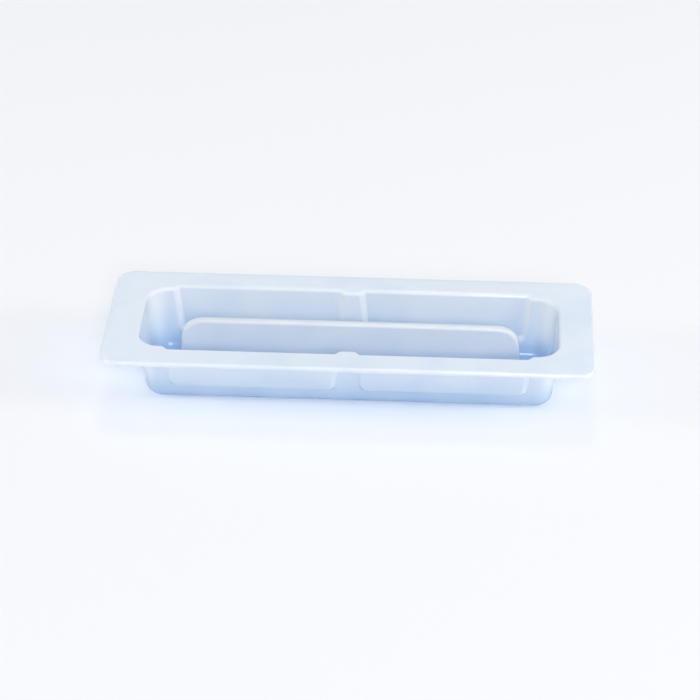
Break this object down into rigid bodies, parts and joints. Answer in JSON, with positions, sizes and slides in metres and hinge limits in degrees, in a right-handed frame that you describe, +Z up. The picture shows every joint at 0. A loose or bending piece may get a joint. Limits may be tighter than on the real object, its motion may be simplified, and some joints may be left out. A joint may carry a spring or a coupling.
{
  "type": "reagent reservoir",
  "caption": "Shallow flanged tray formed from one thin sheet, with ribbed long walls and a raised divider along its basin, for drawing up liquid with a multichannel pipette.",
  "frame": {"origin": "middle of the plane the tray stands on, under the centre of its basin", "axes": "+X along the trough, +Y across it towards one long wall, +Z up out of the mouth"},
  "size_m": [0.14, 0.048, 0.02],
  "materials": {
    "tinted_sheet": "satin, slightly translucent blue-tinted formed sheet"
  },
  "bodies": {
    "root": {"reservoir_tray": "tinted_sheet"}
  },
  "joints": []
}
